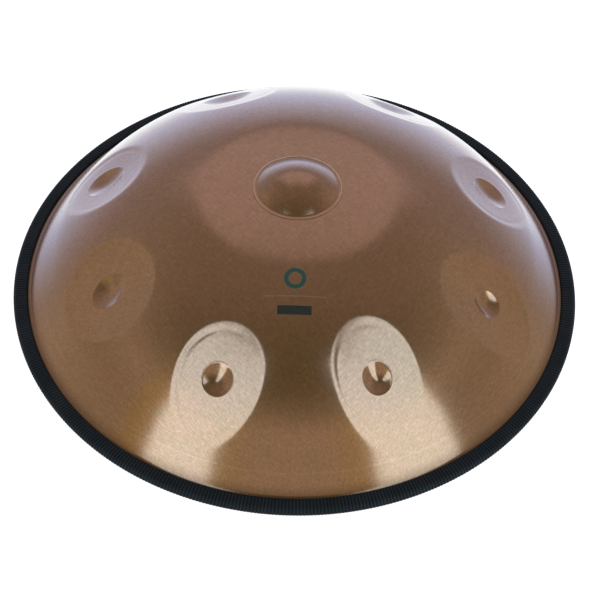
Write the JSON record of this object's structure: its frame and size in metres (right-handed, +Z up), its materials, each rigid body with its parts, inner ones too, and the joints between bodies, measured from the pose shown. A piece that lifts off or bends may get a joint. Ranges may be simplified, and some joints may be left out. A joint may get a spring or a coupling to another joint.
{
  "type": "handpan",
  "caption": "Lens-shaped steel hand drum: dimpled note shell with a raised centre note, lower shell with a port, glued rims under a push-on rubber edge trim.",
  "frame": {"origin": "centre of the port, on the surface that the instrument stands on", "axes": "+Z up along the axis of the shells, -Y towards the two highest notes"},
  "size_m": [0.56, 0.56, 0.2551],
  "materials": {
    "bronze_steel": "satin bronze-tinted stainless steel, fine cross-brushed",
    "bronze_steel_lower": "satin bronze-tinted stainless steel, fine cross-brushed",
    "adhesive": "cured black adhesive",
    "trim_rubber": "satin blue-black rubber with fine cross ribs",
    "spring_steel": "bare spring steel"
  },
  "bodies": {
    "root": {"ding_shell": "bronze_steel", "gu_shell": "bronze_steel_lower", "seam_adhesive": "adhesive", "edge_trim": "trim_rubber", "trim_strip": "spring_steel"}
  },
  "joints": []
}
